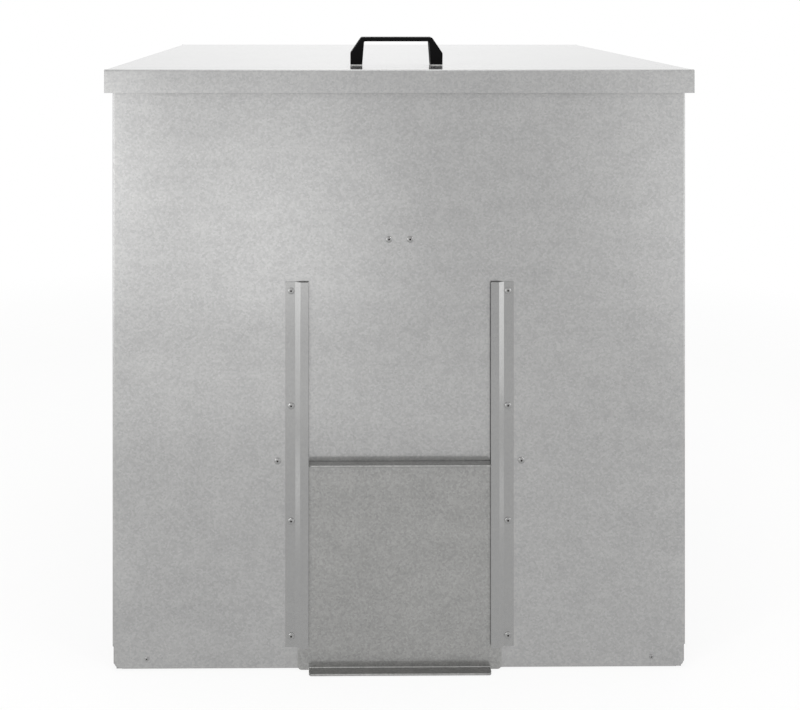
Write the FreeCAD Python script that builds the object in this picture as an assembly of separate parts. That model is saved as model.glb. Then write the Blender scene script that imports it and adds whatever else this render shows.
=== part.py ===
import FreeCAD, Part
import math
import os

# A coal bunker folded and riveted from galvanised sheet steel: four walls on a
# floor pan, a lid that slopes down to the front and is hinged at the back, and a
# hatch plate that slides up between two rails at the foot of the front panel.
#
# Frame: +Z is up, the front faces -Y, and +X is on the right of someone who
# stands in front. The origin is the centre of the floor, on the ground.
# All lengths are in millimetres, all angles in degrees.

# ---- Driving dimensions ----

# Sheet
SHEET = 1.2                  # thickness of the walls, floor, lid, rails, hatch and baffle
BEND_INSIDE = 1.6            # inside radius of a bend

# Body
BODY_WIDTH = 814.0           # outside, over the side bends of the front panel
BODY_DEPTH = 628.0           # outside, front panel to back panel
WALL_FOOT = 3.5              # the bunker stands on its floor pan, and its walls end above that
FRONT_HEIGHT = 849.5         # from the ground to the rim, at the front panel's face
ROOF_SLOPE = 5.1             # the rim and the lid rise towards the back
CORNER_FLANGE = 25.0         # return of the front and back panels onto the sides
CORNER_NOTCH = 5.5           # that return starts this far above the floor pan's flange
RIM_FLANGE = 15.0            # inward return along the top of each wall
FLOOR_FLANGE = 28.0          # upturned flange of the floor pan
RIM_RELIEF = 3.0             # from a side wall to the end of the front or back rim flange
PAN_RELIEF = 8.0             # clear end of the floor pan's flanges beside its corners
PANEL_CORNER = 7.0           # rounding of the walls' bottom corners
FOLD_GAP = 0.4               # slit between two flanges that meet

# Lid
LID_FLANGE = 33.0            # height of the flanges
LID_GAP = 8.0                # clear space between the body and the flanges
LID_SEAT_GAP = 0.3           # the lid lies this close above the rim

# Rails
RAIL_SPACING = 258.0         # free width between the two rails
RAIL_FOOT = 32.5             # height of the rails' lower ends
RAIL_TOP_MARGIN = 4.0        # rail left above the hatch plate when it is fully up
RAIL_LIP = 11.3              # raised part, in front of the hatch plate
RAIL_WEB = 7.4               # width of the sloping part
RAIL_FOOTING = 14.2          # flat part, riveted to the panel
RAIL_PLAY = 2.5              # room in front of the plate, behind the raised part
RAIL_BEND = 0.8              # inside radius of the joggle
RAIL_RIVETS = 4
RAIL_RIVET_INSET = 6.0       # from the sloping part's foot
RAIL_RIVET_RISE = 15.5       # the lowest one, above the rail's lower end
RAIL_RIVET_DROP = 12.7       # the highest one, below the rail's upper end

# Hatch opening in the front panel
OPENING_MARGIN = 14.0        # panel left showing between the opening and a rail
OPENING_SILL = 2.0           # its lower edge, above the floor pan's flange
OPENING_HEIGHT = 223.5
OPENING_CORNER = 8.0

# Hatch plate
HATCH_FOOT = 0.3             # clear of the ground when shut
HATCH_OVERLAP = 42.0         # reach above the opening's upper edge
HATCH_TRAVEL = 250.0         # how far the plate lifts in the rails
HATCH_LIP = 15.0             # how far the lips stand forward
HATCH_HEM = 8.0              # edge folded back under each lip
HEM_GAP = 0.8
HATCH_SIDE_GAP = 0.4         # play at each side of the slot
HATCH_BACK_GAP = 0.3         # between the plate and the front panel
HATCH_LIP_GAP = 0.6          # between a lip's end and the rail
HATCH_CORNER = 6.0           # rounding of the plate's and the lips' corners
HATCH_BEND = 1.0             # inside radius of the lips' bends

# Coal baffle
BAFFLE_OVER_OPENING = 32.0   # from the opening's upper edge to the hood's free edge
BAFFLE_OVER_RAILS = 44.0     # from the rails' upper ends to the hood's top
BAFFLE_DEPTH = 150.0         # how far the hood reaches into the bunker
BAFFLE_TOP_WIDTH = 60.0
BAFFLE_INNER_WIDTH = 190.0   # along its free edge
BAFFLE_TAB = 32.0            # height of the tab above the hood
BAFFLE_EAR = 20.0            # height of the two side tabs
BAFFLE_EAR_REACH = 12.0      # side tab left outside its rivet
BAFFLE_EAR_FOOT = 18.0       # from the rivet in to the hood's side
TOP_RIVET_PITCH = 30.0
EAR_RIVET_FROM_RAIL = 11.1   # from a rail's outer edge

# Blind rivets: the sizes of head and tail are shares of the shank's radius
RIVET_RADIUS = 2.4
SMALL_RIVET_RADIUS = 1.6     # for the corners, the floor pan and the hinges
RIVET_HEAD = 1.95            # radius of the head
RIVET_RIM = 0.17             # height of the head's rim
RIVET_CROWN = 0.62           # height of the head
RIVET_MANDREL = 0.54         # radius of the hole the mandrel leaves
RIVET_RECESS = 0.3           # depth of that hole
RIVET_DOME = 0.12            # bulge of the head's round side, a share of that side's length
RIVET_TAIL = 1.4             # radius of the upset tail
RIVET_TAIL_LENGTH = 1.65
RIVET_TAIL_TAPER = 0.35
RIVET_HOLE_GAP = 0.1         # between the shank and its hole, in millimetres
FOOT_RIVET_INSET = 49.0      # front and back, from the side of the body
SIDE_RIVET_INSET = 84.0      # on the sides, from the front and the back
SIDE_FOOT_RIVETS = 3
CORNER_RIVETS = 5            # down each vertical corner
CORNER_RIVET_RISE = 23.0     # the lowest one, above the floor pan's flange
CORNER_RIVET_DROP = 50.0     # the highest one, below the rim

# Handle
HANDLE_HOLE_PITCH = 120.0
HANDLE_FOOT = 17.6           # length of each foot on the lid
HANDLE_FLARE = 2.7           # how far each foot's inner side leans
HANDLE_HEIGHT = 40.5
HANDLE_SHOULDER = 17.0       # height where the outer side starts to slope
HANDLE_SHOULDER_RUN = 16.0   # width of that slope
HANDLE_GRIP = 6.0            # thickness of the bar
HANDLE_DEPTH = 26.0
HANDLE_ROUNDING = 1.6        # of the long edges
HANDLE_CORNER = 4.0          # rounding of the corners seen from the front
HANDLE_SETBACK = 77.0        # from the lid's front edge to the handle
HANDLE_PAD = 1.2             # thickness of the pad that seals each foot on the lid
SCREW_RADIUS = 3.0
SCREW_BITE = 9.0             # length of the screw in its insert
SCREW_HEAD_RADIUS = 6.0
SCREW_HEAD_HEIGHT = 3.6
SCREW_DRIVE_SIDES = 6        # a hexagon socket
SCREW_DRIVE_RADIUS = 2.3     # to the socket's corners
SCREW_DRIVE_DEPTH = 2.0
SCREW_GAP = 0.05             # around the screw in its insert
SCREW_HOLE_GAP = 0.3         # around the screw in the lid and the washer
INSERT_WALL = 1.2
INSERT_DEPTH = 3.0           # insert left beyond the screw's end
INSERT_GAP = 0.05            # around the insert in the handle
WASHER_RIM = 5.7             # width of the washer's ring
WASHER_THICKNESS = 1.6

# Lid hinges
HINGE_INSET = 147.0          # from the side of the body to the middle of the hinge
HINGE_WIDTH = 70.0
HINGE_LEAF = 2.0             # thickness
HINGE_BODY_LEAF = 34.0       # from the pin down to the end of the body leaf
HINGE_LID_MARGIN = 6.0       # lid flange left above the lid leaf
HINGE_EDGE_GAP = 1.5         # between the knuckles and the lid flange's edge, in height
HINGE_KNUCKLES = 5
HINGE_KNUCKLE_GAP = 0.4
HINGE_LEAF_GAP = 0.6         # between a leaf and the other leaf's knuckles
HINGE_BEND = 1.0
HINGE_CORNER = 5.0           # rounding of the leaves' corners
HINGE_RIVETS = 3
HINGE_RIVET_PITCH = 24.0
PIN_RADIUS = 2.5
PIN_GAP = 0.05
PIN_HEAD_RIM = 1.3           # how far the pin's head stands past its shank
PIN_HEAD_HEIGHT = 1.4

# Smallest length that counts as an edge
SAME_POINT = 1e-6

# ---- Derived sizes ----

SLOPE = math.tan(math.radians(ROOF_SLOPE))
SHEET_ON_SLOPE = SHEET / math.cos(math.radians(ROOF_SLOPE))
BEND_OUTSIDE = BEND_INSIDE + SHEET
HALF_WIDTH = BODY_WIDTH / 2
HALF_DEPTH = BODY_DEPTH / 2
INNER_X = HALF_WIDTH - 2 * SHEET     # inner face of a side panel
INNER_Y = HALF_DEPTH - SHEET         # inner face of the front and back panels

LID_HALF_WIDTH = HALF_WIDTH + LID_GAP + SHEET
LID_HALF_DEPTH = HALF_DEPTH + LID_GAP + SHEET

OPENING_LOW = FLOOR_FLANGE + OPENING_SILL
OPENING_HIGH = OPENING_LOW + OPENING_HEIGHT
OPENING_HALF_WIDTH = RAIL_SPACING / 2 - OPENING_MARGIN

HATCH_TOP = OPENING_HIGH + HATCH_OVERLAP
HATCH_BACK_Y = -HALF_DEPTH - HATCH_BACK_GAP
HATCH_FRONT_Y = HATCH_BACK_Y - SHEET
HATCH_TIP_Y = HATCH_FRONT_Y - HATCH_LIP
HATCH_LIP_HALF_WIDTH = RAIL_SPACING / 2 - HATCH_LIP_GAP

# The slot between the panel and a rail's raised part narrows along the sloping
# web, and the plate's edge stops short of the web by the side gap.
RAIL_STEP = HATCH_BACK_GAP + SHEET + RAIL_PLAY
RAIL_WEB_FOOT_X = RAIL_SPACING / 2 + RAIL_LIP + RAIL_WEB
RAIL_OUTER_X = RAIL_WEB_FOOT_X + RAIL_FOOTING
RAIL_TOP = HATCH_TOP + HATCH_TRAVEL + RAIL_TOP_MARGIN
WEB_OVER_PLATE = RAIL_WEB * (HATCH_BACK_GAP + SHEET) / RAIL_STEP
HATCH_HALF_WIDTH = RAIL_WEB_FOOT_X - WEB_OVER_PLATE - HATCH_SIDE_GAP

BAFFLE_FOOT = OPENING_HIGH + BAFFLE_OVER_OPENING
BAFFLE_TOP = RAIL_TOP + BAFFLE_OVER_RAILS
EAR_RIVET_X = RAIL_OUTER_X + EAR_RIVET_FROM_RAIL
BAFFLE_FOOT_X = EAR_RIVET_X - BAFFLE_EAR_FOOT

HANDLE_LENGTH = HANDLE_HOLE_PITCH + HANDLE_FOOT
HANDLE_Y = -LID_HALF_DEPTH + HANDLE_SETBACK + HANDLE_DEPTH / 2
SCREW_LENGTH = WASHER_THICKNESS + SHEET + HANDLE_PAD + SCREW_BITE
INSERT_RADIUS = SCREW_RADIUS + SCREW_GAP + INSERT_WALL
INSERT_LENGTH = SCREW_BITE + INSERT_DEPTH
SCREW_HOLE_RADIUS = SCREW_RADIUS + SCREW_HOLE_GAP

HINGE_X = HALF_WIDTH - HINGE_INSET
HINGE_LID_LEAF = LID_FLANGE - HINGE_LID_MARGIN   # above the lid flange's edge
KNUCKLE_BORE = PIN_RADIUS + PIN_GAP
KNUCKLE_RADIUS = KNUCKLE_BORE + HINGE_LEAF
KNUCKLE_WIDTH = (HINGE_WIDTH - (HINGE_KNUCKLES - 1) * HINGE_KNUCKLE_GAP) / HINGE_KNUCKLES
PIN_Y = LID_HALF_DEPTH + KNUCKLE_RADIUS

UP = FreeCAD.Vector(0, 0, 1)
DOWN = FreeCAD.Vector(0, 0, -1)
FORWARD = FreeCAD.Vector(0, -1, 0)
BACKWARD = FreeCAD.Vector(0, 1, 0)
LEFT = FreeCAD.Vector(-1, 0, 0)
RIGHT = FreeCAD.Vector(1, 0, 0)


def rim_z(y):
    """Height of the sloping rim at a depth y."""
    return FRONT_HEIGHT + (y + HALF_DEPTH) * SLOPE


def lid_under_z(y):
    """Height of the lid's underside at a depth y."""
    return rim_z(y) + LID_SEAT_GAP


def lid_top_z(y):
    """Height of the lid's upper face at a depth y."""
    return lid_under_z(y) + SHEET_ON_SLOPE


# Lower edges of the lid's flanges, which run parallel to the rim.
LID_EDGE_FRONT_Z = lid_top_z(-LID_HALF_DEPTH) - LID_FLANGE
LID_EDGE_BACK_Z = lid_top_z(LID_HALF_DEPTH) - LID_FLANGE
PIN_Z = LID_EDGE_BACK_Z - KNUCKLE_RADIUS - HINGE_EDGE_GAP


# ---- Helpers ----

def vector(u, v):
    """A point of a flat outline, drawn in the XY plane."""
    return FreeCAD.Vector(u, v, 0)


def box(x0, x1, y0, y1, z0, z1):
    """A block between two corners."""
    return Part.makeBox(x1 - x0, y1 - y0, z1 - z0, FreeCAD.Vector(x0, y0, z0))


def joined(shapes):
    """One solid from overlapping or touching ones."""
    first, *others = shapes
    return first.fuse(others).removeSplitter() if others else first


def line(start, end):
    """A straight edge, or none between two points that coincide."""
    return [Part.makeLine(start, end)] if start.distanceToPoint(end) > SAME_POINT else []


def rounded_edges(corners, radii):
    """Lines and arcs along corners, each inner corner rounded by its radius."""
    edges = []
    start = corners[0]
    for before, corner, after, radius in zip(corners, corners[1:], corners[2:], radii):
        back = (before - corner).normalize()
        ahead = (after - corner).normalize()
        half_angle = back.getAngle(ahead) / 2
        first = corner + back * (radius / math.tan(half_angle))
        last = corner + ahead * (radius / math.tan(half_angle))
        edges += line(start, first)
        if radius > 0:
            middle = (back + ahead).normalize()
            nearest = corner + middle * (radius / math.sin(half_angle) - radius)
            edges.append(Part.Arc(first, nearest, last).toShape())
        start = last
    return edges + line(start, corners[-1])


def closed_face(corners, radii):
    """A face inside a closed outline whose corners are rounded."""
    start = (corners[-1] + corners[0]) * 0.5
    return Part.Face(Part.Wire(rounded_edges([start, *corners, start], radii)))


def plain_face(corners):
    """A face inside a closed outline with sharp corners."""
    return Part.Face(Part.makePolygon([*corners, corners[0]]))


def offset_corners(path, distance):
    """The path moved sideways, to its right for a positive distance."""
    rights = []
    for a, b in zip(path, path[1:]):
        along = (b - a).normalize()
        rights.append(FreeCAD.Vector(along.y, -along.x, 0))
    moved = [path[0] + rights[0] * distance]
    for index in range(1, len(path) - 1):
        before, after = rights[index - 1], rights[index]
        middle = (before + after).normalize()
        moved.append(path[index] + middle * (distance / middle.dot(before)))
    moved.append(path[-1] + rights[-1] * distance)
    return moved


def sheet_face(points, thickness, inside_radii):
    """Section of a folded sheet: points run along one face, and the sheet
    lies to their right. Both faces of each bend share one centre."""
    path = [vector(*point) for point in points]
    other = offset_corners(path, thickness)
    near_radii, far_radii = [], []
    for a, b, c, inside_radius in zip(path, path[1:], path[2:], inside_radii):
        turns_left = (b - a).cross(c - b).z > 0
        near_radii.append(inside_radius + (0 if turns_left else thickness))
        far_radii.append(inside_radius + (thickness if turns_left else 0))
    edges = rounded_edges(path, near_radii) + line(path[-1], other[-1])
    edges += rounded_edges(other[::-1], far_radii[::-1]) + line(other[0], path[0])
    return Part.Face(Part.Wire(edges))


def across_width(face, x0, x1):
    """Carries a section drawn in (y, z) across the width from x0 to x1."""
    section = face.copy()
    section.Placement = FreeCAD.Placement(FreeCAD.Matrix(0, 0, 1, x0, 1, 0, 0, 0, 0, 1, 0, 0))
    return section.extrude(RIGHT * (x1 - x0))


def along_depth(face, y0, y1):
    """Carries a section drawn in (x, z) back from y0 to y1."""
    section = face.copy()
    section.Placement = FreeCAD.Placement(FreeCAD.Matrix(1, 0, 0, 0, 0, 0, -1, y0, 0, 1, 0, 0))
    return section.extrude(BACKWARD * (y1 - y0))


def along_roof(face, top_z, y0, y1):
    """Carries a section drawn in (x, distance from a sloping face) up that face
    and trims it upright at y0 and y1. top_z gives the face's height."""
    strip = along_depth(face, -BODY_DEPTH, BODY_DEPTH)
    strip.Placement = on_roof(top_z, 0)
    return strip.common(box(-BODY_WIDTH, BODY_WIDTH, y0, y1, 0, 2 * FRONT_HEIGHT))


def on_roof(top_z, y):
    """The place of something that stands square on a sloping face at a depth y."""
    return FreeCAD.Placement(FreeCAD.Vector(0, y, top_z(y)), FreeCAD.Rotation(RIGHT, ROOF_SLOPE))


def up_height(face, z0, z1):
    """Carries a section drawn in (x, y) up from z0 to z1."""
    return face.translated(UP * z0).extrude(UP * (z1 - z0))


def spun(face):
    """A solid of revolution about Z, from a face drawn in (radius, height)."""
    upright = face.rotated(FreeCAD.Vector(0, 0, 0), RIGHT, 90)
    return upright.revolve(FreeCAD.Vector(0, 0, 0), UP, 360)


def between(count, low, high):
    """Equally spaced places from low to high."""
    return [low + (high - low) * index / (count - 1) for index in range(count)]


# ---- Blind rivets ----

class Rivet:
    """A blind rivet: where its head sits, which way it faces, what it clamps."""

    def __init__(self, point, outward, grip, radius=RIVET_RADIUS):
        self.point = point
        self.outward = outward
        self.grip = grip
        self.radius = radius

    def solid(self):
        """Domed head with the hole of the broken mandrel, shank and upset tail."""
        radius = self.radius
        head, mandrel, tail = radius * RIVET_HEAD, radius * RIVET_MANDREL, radius * RIVET_TAIL
        rim, crown = vector(head, radius * RIVET_RIM), vector(mandrel, radius * RIVET_CROWN)
        recess = radius * (RIVET_CROWN - RIVET_RECESS)
        end = -self.grip - radius * RIVET_TAIL_LENGTH
        taper = radius * RIVET_TAIL_TAPER
        corners = [
            rim, vector(head, 0), vector(radius, 0), vector(radius, -self.grip),
            vector(tail, -self.grip), vector(tail, end + taper), vector(tail - taper, end),
            vector(0, end), vector(0, recess), vector(mandrel, recess), crown,
        ]
        chord = rim - crown
        bulge = (rim + crown) * 0.5 + vector(-chord.y, chord.x) * RIVET_DOME
        edges = [Part.makeLine(a, b) for a, b in zip(corners, corners[1:])]
        edges.append(Part.Arc(crown, bulge, rim).toShape())
        return self.placed(spun(Part.Face(Part.Wire(edges))))

    def hole(self):
        """The drilled hole through everything the rivet clamps."""
        depth = self.grip + SHEET
        drill = Part.makeCylinder(self.radius + RIVET_HOLE_GAP, depth + SHEET, DOWN * depth, UP)
        return self.placed(drill)

    def placed(self, shape):
        shape.Placement = FreeCAD.Placement(self.point, FreeCAD.Rotation(UP, self.outward))
        return shape


def drilled(sheet, rivets):
    """A sheet with the rivets' holes in it."""
    return sheet.cut([rivet.hole() for rivet in rivets])


def rivet_group(rivets):
    """Identical rivets as separate solids of one node."""
    return Part.makeCompound([rivet.solid() for rivet in rivets])


def rail_rivets(side):
    """The rivets of one rail: side is -1 for the left and 1 for the right."""
    x = side * (RAIL_WEB_FOOT_X + RAIL_RIVET_INSET)
    low, high = RAIL_FOOT + RAIL_RIVET_RISE, RAIL_TOP - RAIL_RIVET_DROP
    return [
        Rivet(FreeCAD.Vector(x, -HALF_DEPTH - SHEET, z), FORWARD, 2 * SHEET)
        for z in between(RAIL_RIVETS, low, high)
    ]


def baffle_rivets():
    """Two rivets in the baffle's top tab and one in each of its ears."""
    places = [(x * TOP_RIVET_PITCH / 2, BAFFLE_TOP + BAFFLE_TAB / 2) for x in (-1, 1)]
    places += [(x * EAR_RIVET_X, BAFFLE_FOOT + BAFFLE_EAR / 2) for x in (-1, 1)]
    return [
        Rivet(FreeCAD.Vector(x, -HALF_DEPTH, z), FORWARD, 2 * SHEET)
        for x, z in places
    ]


def corner_rivets(end):
    """Rivets down both vertical corners: end is -1 for the front, 1 for the back."""
    y = end * (HALF_DEPTH - (CORNER_FLANGE + BEND_OUTSIDE) / 2)
    low, high = FLOOR_FLANGE + CORNER_RIVET_RISE, rim_z(y) - CORNER_RIVET_DROP
    return [
        Rivet(FreeCAD.Vector(outward.x * HALF_WIDTH, y, z), outward,
              2 * SHEET, SMALL_RIVET_RADIUS)
        for outward in (LEFT, RIGHT)
        for z in between(CORNER_RIVETS, low, high)
    ]


def end_foot_rivets(end):
    """Small rivets that hold the floor pan to the front or the back panel."""
    z = (WALL_FOOT + FLOOR_FLANGE) / 2
    return [
        Rivet(FreeCAD.Vector(side * (HALF_WIDTH - FOOT_RIVET_INSET), end * HALF_DEPTH, z),
              BACKWARD * end, 2 * SHEET, SMALL_RIVET_RADIUS)
        for side in (-1, 1)
    ]


def side_foot_rivets():
    """Small rivets that hold the floor pan to the side panels."""
    z = (WALL_FOOT + FLOOR_FLANGE) / 2
    reach = HALF_DEPTH - SIDE_RIVET_INSET
    return [
        Rivet(FreeCAD.Vector(outward.x * (INNER_X + SHEET), y, z), outward,
              2 * SHEET, SMALL_RIVET_RADIUS)
        for outward in (LEFT, RIGHT)
        for y in between(SIDE_FOOT_RIVETS, -reach, reach)
    ]


def hinge_rivets(face_y, z):
    """A row of rivets in the leaves of both hinges, on a vertical face."""
    half_row = (HINGE_RIVETS - 1) * HINGE_RIVET_PITCH / 2
    return [
        Rivet(FreeCAD.Vector(side * HINGE_X + x, face_y + HINGE_LEAF, z), BACKWARD,
              HINGE_LEAF + SHEET, SMALL_RIVET_RADIUS)
        for side in (-1, 1)
        for x in between(HINGE_RIVETS, -half_row, half_row)
    ]


def hinge_lid_rivets():
    """Rivets through the lid leaves and the lid's back flange."""
    return hinge_rivets(LID_HALF_DEPTH, LID_EDGE_BACK_Z + HINGE_LID_LEAF / 2)


def hinge_body_rivets():
    """Rivets through the body leaves and the back panel."""
    return hinge_rivets(HALF_DEPTH, PIN_Z - (KNUCKLE_RADIUS + HINGE_BODY_LEAF) / 2)


# ---- Walls and floor ----

def under_roof(shape):
    """What is left of a shape below the sloping rim."""
    reach = BODY_DEPTH
    corners = [
        vector(-reach, 0), vector(reach, 0),
        vector(reach, rim_z(reach)), vector(-reach, rim_z(-reach)),
    ]
    return shape.common(across_width(plain_face(corners), -BODY_WIDTH, BODY_WIDTH))


def end_panel(end):
    """The front (end -1) or back (end 1) panel: folded round both corners, with
    a rim flange turned in along its top. Beside its rounded bottom corners the
    folds are notched."""
    face_y = end * HALF_DEPTH
    flange_y = face_y - end * CORNER_FLANGE
    section = [
        (-HALF_WIDTH, flange_y), (-HALF_WIDTH, face_y),
        (HALF_WIDTH, face_y), (HALF_WIDTH, flange_y),
    ]
    rim_y = face_y - end * RIM_FLANGE
    rim_low = rim_z(face_y) - CORNER_FLANGE
    rim_section = [(face_y, rim_low), (face_y, rim_z(face_y)), (rim_y, rim_z(rim_y))]
    if end < 0:
        section.reverse()
    else:
        rim_section.reverse()
    top = max(rim_z(face_y), rim_z(flange_y))
    walls = under_roof(up_height(sheet_face(section, SHEET, [BEND_INSIDE] * 2), WALL_FOOT, top))
    foot_x, notch_z = HALF_WIDTH - BEND_OUTSIDE - FOLD_GAP, FLOOR_FLANGE + CORNER_NOTCH
    outline = closed_face([
        vector(-foot_x, WALL_FOOT), vector(foot_x, WALL_FOOT),
        vector(foot_x, notch_z), vector(HALF_WIDTH, notch_z), vector(HALF_WIDTH, top),
        vector(-HALF_WIDTH, top), vector(-HALF_WIDTH, notch_z), vector(-foot_x, notch_z),
    ], [PANEL_CORNER] * 2 + [0] * 6)
    walls = walls.common(along_depth(outline, -BODY_DEPTH, BODY_DEPTH))
    # Between the reliefs the rim flange's bend takes the place of the plain edge.
    rim_half = INNER_X - RIM_RELIEF
    notch = box(-rim_half, rim_half, face_y - SHEET, face_y + SHEET,
                rim_z(face_y) - 2 * BEND_OUTSIDE, top)
    rim = across_width(sheet_face(rim_section, SHEET, [BEND_INSIDE]), -rim_half, rim_half)
    return joined([walls.cut(notch), rim])


def front_panel():
    """Front panel, with the window that the hatch plate covers."""
    x = OPENING_HALF_WIDTH
    window = closed_face([
        vector(-x, OPENING_LOW), vector(x, OPENING_LOW),
        vector(x, OPENING_HIGH), vector(-x, OPENING_HIGH),
    ], [OPENING_CORNER] * 4)
    window = along_depth(window, -HALF_DEPTH - SHEET, -INNER_Y + SHEET)
    rivets = rail_rivets(-1) + rail_rivets(1) + baffle_rivets()
    return drilled(end_panel(-1).cut(window), rivets + corner_rivets(-1) + end_foot_rivets(-1))


def back_panel():
    """Back panel, which carries the hinges."""
    return drilled(end_panel(1), corner_rivets(1) + end_foot_rivets(1) + hinge_body_rivets())


def side_panel(side):
    """A side panel inside the corner flanges, with a sloping rim flange."""
    outer_x = side * (INNER_X + SHEET)
    wall_y = INNER_Y - BEND_INSIDE - FOLD_GAP
    rim_y = HALF_DEPTH - RIM_FLANGE - FOLD_GAP
    section = [(outer_x, -RIM_FLANGE), (outer_x, 0), (outer_x - side * RIM_FLANGE, 0)]
    if side > 0:
        section.reverse()
    rim = along_roof(sheet_face(section, SHEET, [BEND_INSIDE]), rim_z, -rim_y, rim_y)
    wall = closed_face([
        vector(-wall_y, WALL_FOOT), vector(wall_y, WALL_FOOT),
        vector(wall_y, rim_z(wall_y) - 2 * BEND_OUTSIDE),
        vector(-wall_y, rim_z(-wall_y) - 2 * BEND_OUTSIDE),
    ], [PANEL_CORNER] * 2 + [0] * 2)
    low_x, high_x = sorted((outer_x, outer_x - side * SHEET))
    panel = joined([across_width(wall, low_x, high_x), rim])
    return drilled(panel, corner_rivets(-1) + corner_rivets(1) + side_foot_rivets())


def floor_pan():
    """Floor with four upturned flanges inside the walls."""
    flat_x, flat_y = INNER_X - BEND_OUTSIDE, INNER_Y - BEND_OUTSIDE
    bends = [BEND_INSIDE] * 2
    ends = [(INNER_Y, FLOOR_FLANGE), (INNER_Y, 0), (-INNER_Y, 0), (-INNER_Y, FLOOR_FLANGE)]
    sides = [(INNER_X, FLOOR_FLANGE), (INNER_X, 0), (-INNER_X, 0), (-INNER_X, FLOOR_FLANGE)]
    pan = joined([
        box(-flat_x, flat_x, -flat_y, flat_y, 0, SHEET),
        across_width(sheet_face(ends, SHEET, bends), PAN_RELIEF - flat_x, flat_x - PAN_RELIEF),
        along_depth(sheet_face(sides, SHEET, bends), PAN_RELIEF - flat_y, flat_y - PAN_RELIEF),
    ])
    return drilled(pan, end_foot_rivets(-1) + end_foot_rivets(1) + side_foot_rivets())


def coal_baffle():
    """A hood behind the front panel that keeps the weight of the coal off the
    hatch: a sloping face and two cheeks, a tab at the top and two ears."""
    wall_y = -INNER_Y
    top_x, foot_x, inner_x = BAFFLE_TOP_WIDTH / 2, BAFFLE_FOOT_X, BAFFLE_INNER_WIDTH / 2
    inner_y = wall_y + BAFFLE_DEPTH
    a, b, c = [], [], []
    for x in (-1, 1):
        a.append(FreeCAD.Vector(x * top_x, wall_y, BAFFLE_TOP))
        b.append(FreeCAD.Vector(x * inner_x, inner_y, BAFFLE_FOOT))
        c.append(FreeCAD.Vector(x * foot_x, wall_y, BAFFLE_FOOT))
    outlines = [
        [a[0], a[1], c[1], c[0]],     # against the front panel
        [c[0], c[1], b[1], b[0]],     # open foot
        [a[0], a[1], b[1], b[0]],     # sloping face
        [a[0], b[0], c[0]],           # left cheek
        [a[1], b[1], c[1]],           # right cheek
    ]
    faces = [plain_face(outline) for outline in outlines]
    block = Part.makeSolid(Part.makeShell(faces))
    if block.Volume < 0:
        block.reverse()
    open_faces = [
        face for face in block.Faces
        if abs(face.CenterOfMass.y - wall_y) < SAME_POINT
        or abs(face.CenterOfMass.z - BAFFLE_FOOT) < SAME_POINT
    ]
    hood = block.makeThickness(open_faces, -SHEET, SAME_POINT)
    ear_x = EAR_RIVET_X + BAFFLE_EAR_REACH
    pieces = [
        hood,
        box(-top_x, top_x, wall_y, wall_y + SHEET, BAFFLE_TOP - SHEET, BAFFLE_TOP + BAFFLE_TAB),
    ]
    for x0, x1 in ((-ear_x, -foot_x + SHEET), (foot_x - SHEET, ear_x)):
        pieces.append(box(x0, x1, wall_y, wall_y + SHEET, BAFFLE_FOOT, BAFFLE_FOOT + BAFFLE_EAR))
    return drilled(joined(pieces), baffle_rivets())


# ---- Rails and hatch ----

def rail(side):
    """A joggled strip: flat on the panel outside, raised over the plate inside."""
    lip_x, lip_y = RAIL_SPACING / 2, -HALF_DEPTH - RAIL_STEP
    section = [
        (side * lip_x, lip_y), (side * (lip_x + RAIL_LIP), lip_y),
        (side * RAIL_WEB_FOOT_X, -HALF_DEPTH), (side * RAIL_OUTER_X, -HALF_DEPTH),
    ]
    if side < 0:
        section.reverse()
    strip = up_height(sheet_face(section, SHEET, [RAIL_BEND] * 2), RAIL_FOOT, RAIL_TOP)
    return drilled(strip, rail_rivets(side))


def hatch_plate():
    """One sheet that slides in the rails: a flat plate with a lip folded forward
    at each end, and the edge of each lip folded back under it."""
    hem_radius = HEM_GAP / 2
    hem_y = HATCH_TIP_Y + HATCH_HEM
    lower_lip_top = HATCH_FOOT + 2 * SHEET + HEM_GAP
    upper_lip_under = HATCH_TOP - SHEET
    # Up the plate's front face, from the lower lip's hem to the upper lip's hem.
    path = [
        (hem_y, HATCH_FOOT), (HATCH_TIP_Y, HATCH_FOOT), (HATCH_TIP_Y, lower_lip_top),
        (HATCH_FRONT_Y, lower_lip_top), (HATCH_FRONT_Y, upper_lip_under),
        (HATCH_TIP_Y + SHEET, upper_lip_under), (HATCH_TIP_Y + SHEET, upper_lip_under - HEM_GAP),
        (hem_y, upper_lip_under - HEM_GAP),
    ]
    radii = [hem_radius, hem_radius, HATCH_BEND, HATCH_BEND, hem_radius, hem_radius]
    lip_x = HATCH_LIP_HALF_WIDTH
    folded = across_width(sheet_face(path, SHEET, radii), -lip_x, lip_x)
    plan = closed_face([
        vector(-lip_x, HATCH_TIP_Y), vector(lip_x, HATCH_TIP_Y),
        vector(lip_x, HATCH_BACK_Y), vector(-lip_x, HATCH_BACK_Y),
    ], [HATCH_CORNER, HATCH_CORNER, 0, 0])
    folded = folded.common(up_height(plan, 0, HATCH_TOP))
    x = HATCH_HALF_WIDTH
    flat = closed_face([
        vector(-x, HATCH_FOOT), vector(x, HATCH_FOOT), vector(x, HATCH_TOP), vector(-x, HATCH_TOP),
    ], [HATCH_CORNER] * 4)
    flat = along_depth(flat, HATCH_FRONT_Y, HATCH_BACK_Y)
    # Slits beside the lips let their bends turn.
    slit_x = lip_x + FOLD_GAP
    bend_room = HATCH_BEND + SHEET
    slits = [
        box(-slit_x, slit_x, HATCH_FRONT_Y, HATCH_BACK_Y, 0, lower_lip_top + bend_room),
        box(-slit_x, slit_x, HATCH_FRONT_Y, HATCH_BACK_Y, HATCH_TOP - SHEET - bend_room, HATCH_TOP),
    ]
    return joined([flat.cut(slits), folded])


# ---- Lid and handle ----

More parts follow.
